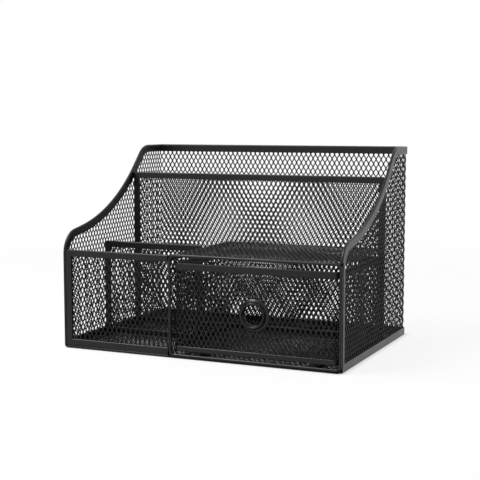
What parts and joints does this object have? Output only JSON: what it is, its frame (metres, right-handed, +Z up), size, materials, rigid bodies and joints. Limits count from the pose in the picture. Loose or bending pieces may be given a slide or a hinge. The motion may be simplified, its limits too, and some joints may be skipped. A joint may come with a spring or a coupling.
{
  "type": "pen stand with drawer",
  "caption": "black expanded-metal desk organiser: curved side walls, open letter slot at the back, upright compartments on the left and a sliding drawer with a ring pull under a shelf",
  "frame": {"origin": "centre of the body's footprint on the desk, at the underside of the base frame", "axes": "+X runs to the right along the front, the longest side; -Y is the front, where the drawer opens; +Z is up"},
  "size_m": [0.22, 0.1584, 0.15],
  "materials": {
    "mesh_coat": "black powder coat on expanded steel mesh",
    "strip_coat": "black powder coat on folded steel strip and round wire, satin",
    "pull_coat": "black powder coat on the ring pull, satin"
  },
  "bodies": {
    "body": {"left_side_mesh": "mesh_coat", "right_side_mesh": "mesh_coat", "back_mesh": "mesh_coat", "left_side_strip": "strip_coat", "right_side_strip": "strip_coat", "back_top_strip": "strip_coat", "back_bottom_strip": "strip_coat", "base_mesh": "mesh_coat", "base_frame": "strip_coat", "front_panel_mesh": "mesh_coat", "front_panel_frame": "strip_coat", "short_divider_mesh": "mesh_coat", "short_divider_frame": "strip_coat", "tall_divider_mesh": "mesh_coat", "tall_divider_frame": "strip_coat", "bay_wall_mesh": "mesh_coat", "bay_wall_strip": "strip_coat", "shelf_mesh": "mesh_coat", "bay_front_wire": "strip_coat", "left_runner": "strip_coat", "right_runner": "strip_coat"},
    "drawer": {"drawer_front_mesh": "mesh_coat", "drawer_back_mesh": "mesh_coat", "drawer_left_mesh": "mesh_coat", "drawer_right_mesh": "mesh_coat", "drawer_floor_mesh": "mesh_coat", "drawer_top_strip": "strip_coat", "drawer_bottom_strip": "strip_coat", "pull_ring": "pull_coat"}
  },
  "joints": [
    {"name": "drawer_slide", "type": "slide", "parent": "body", "child": "drawer", "axis": [0, -1, 0], "range_m": [0, 0.085]}
  ]
}
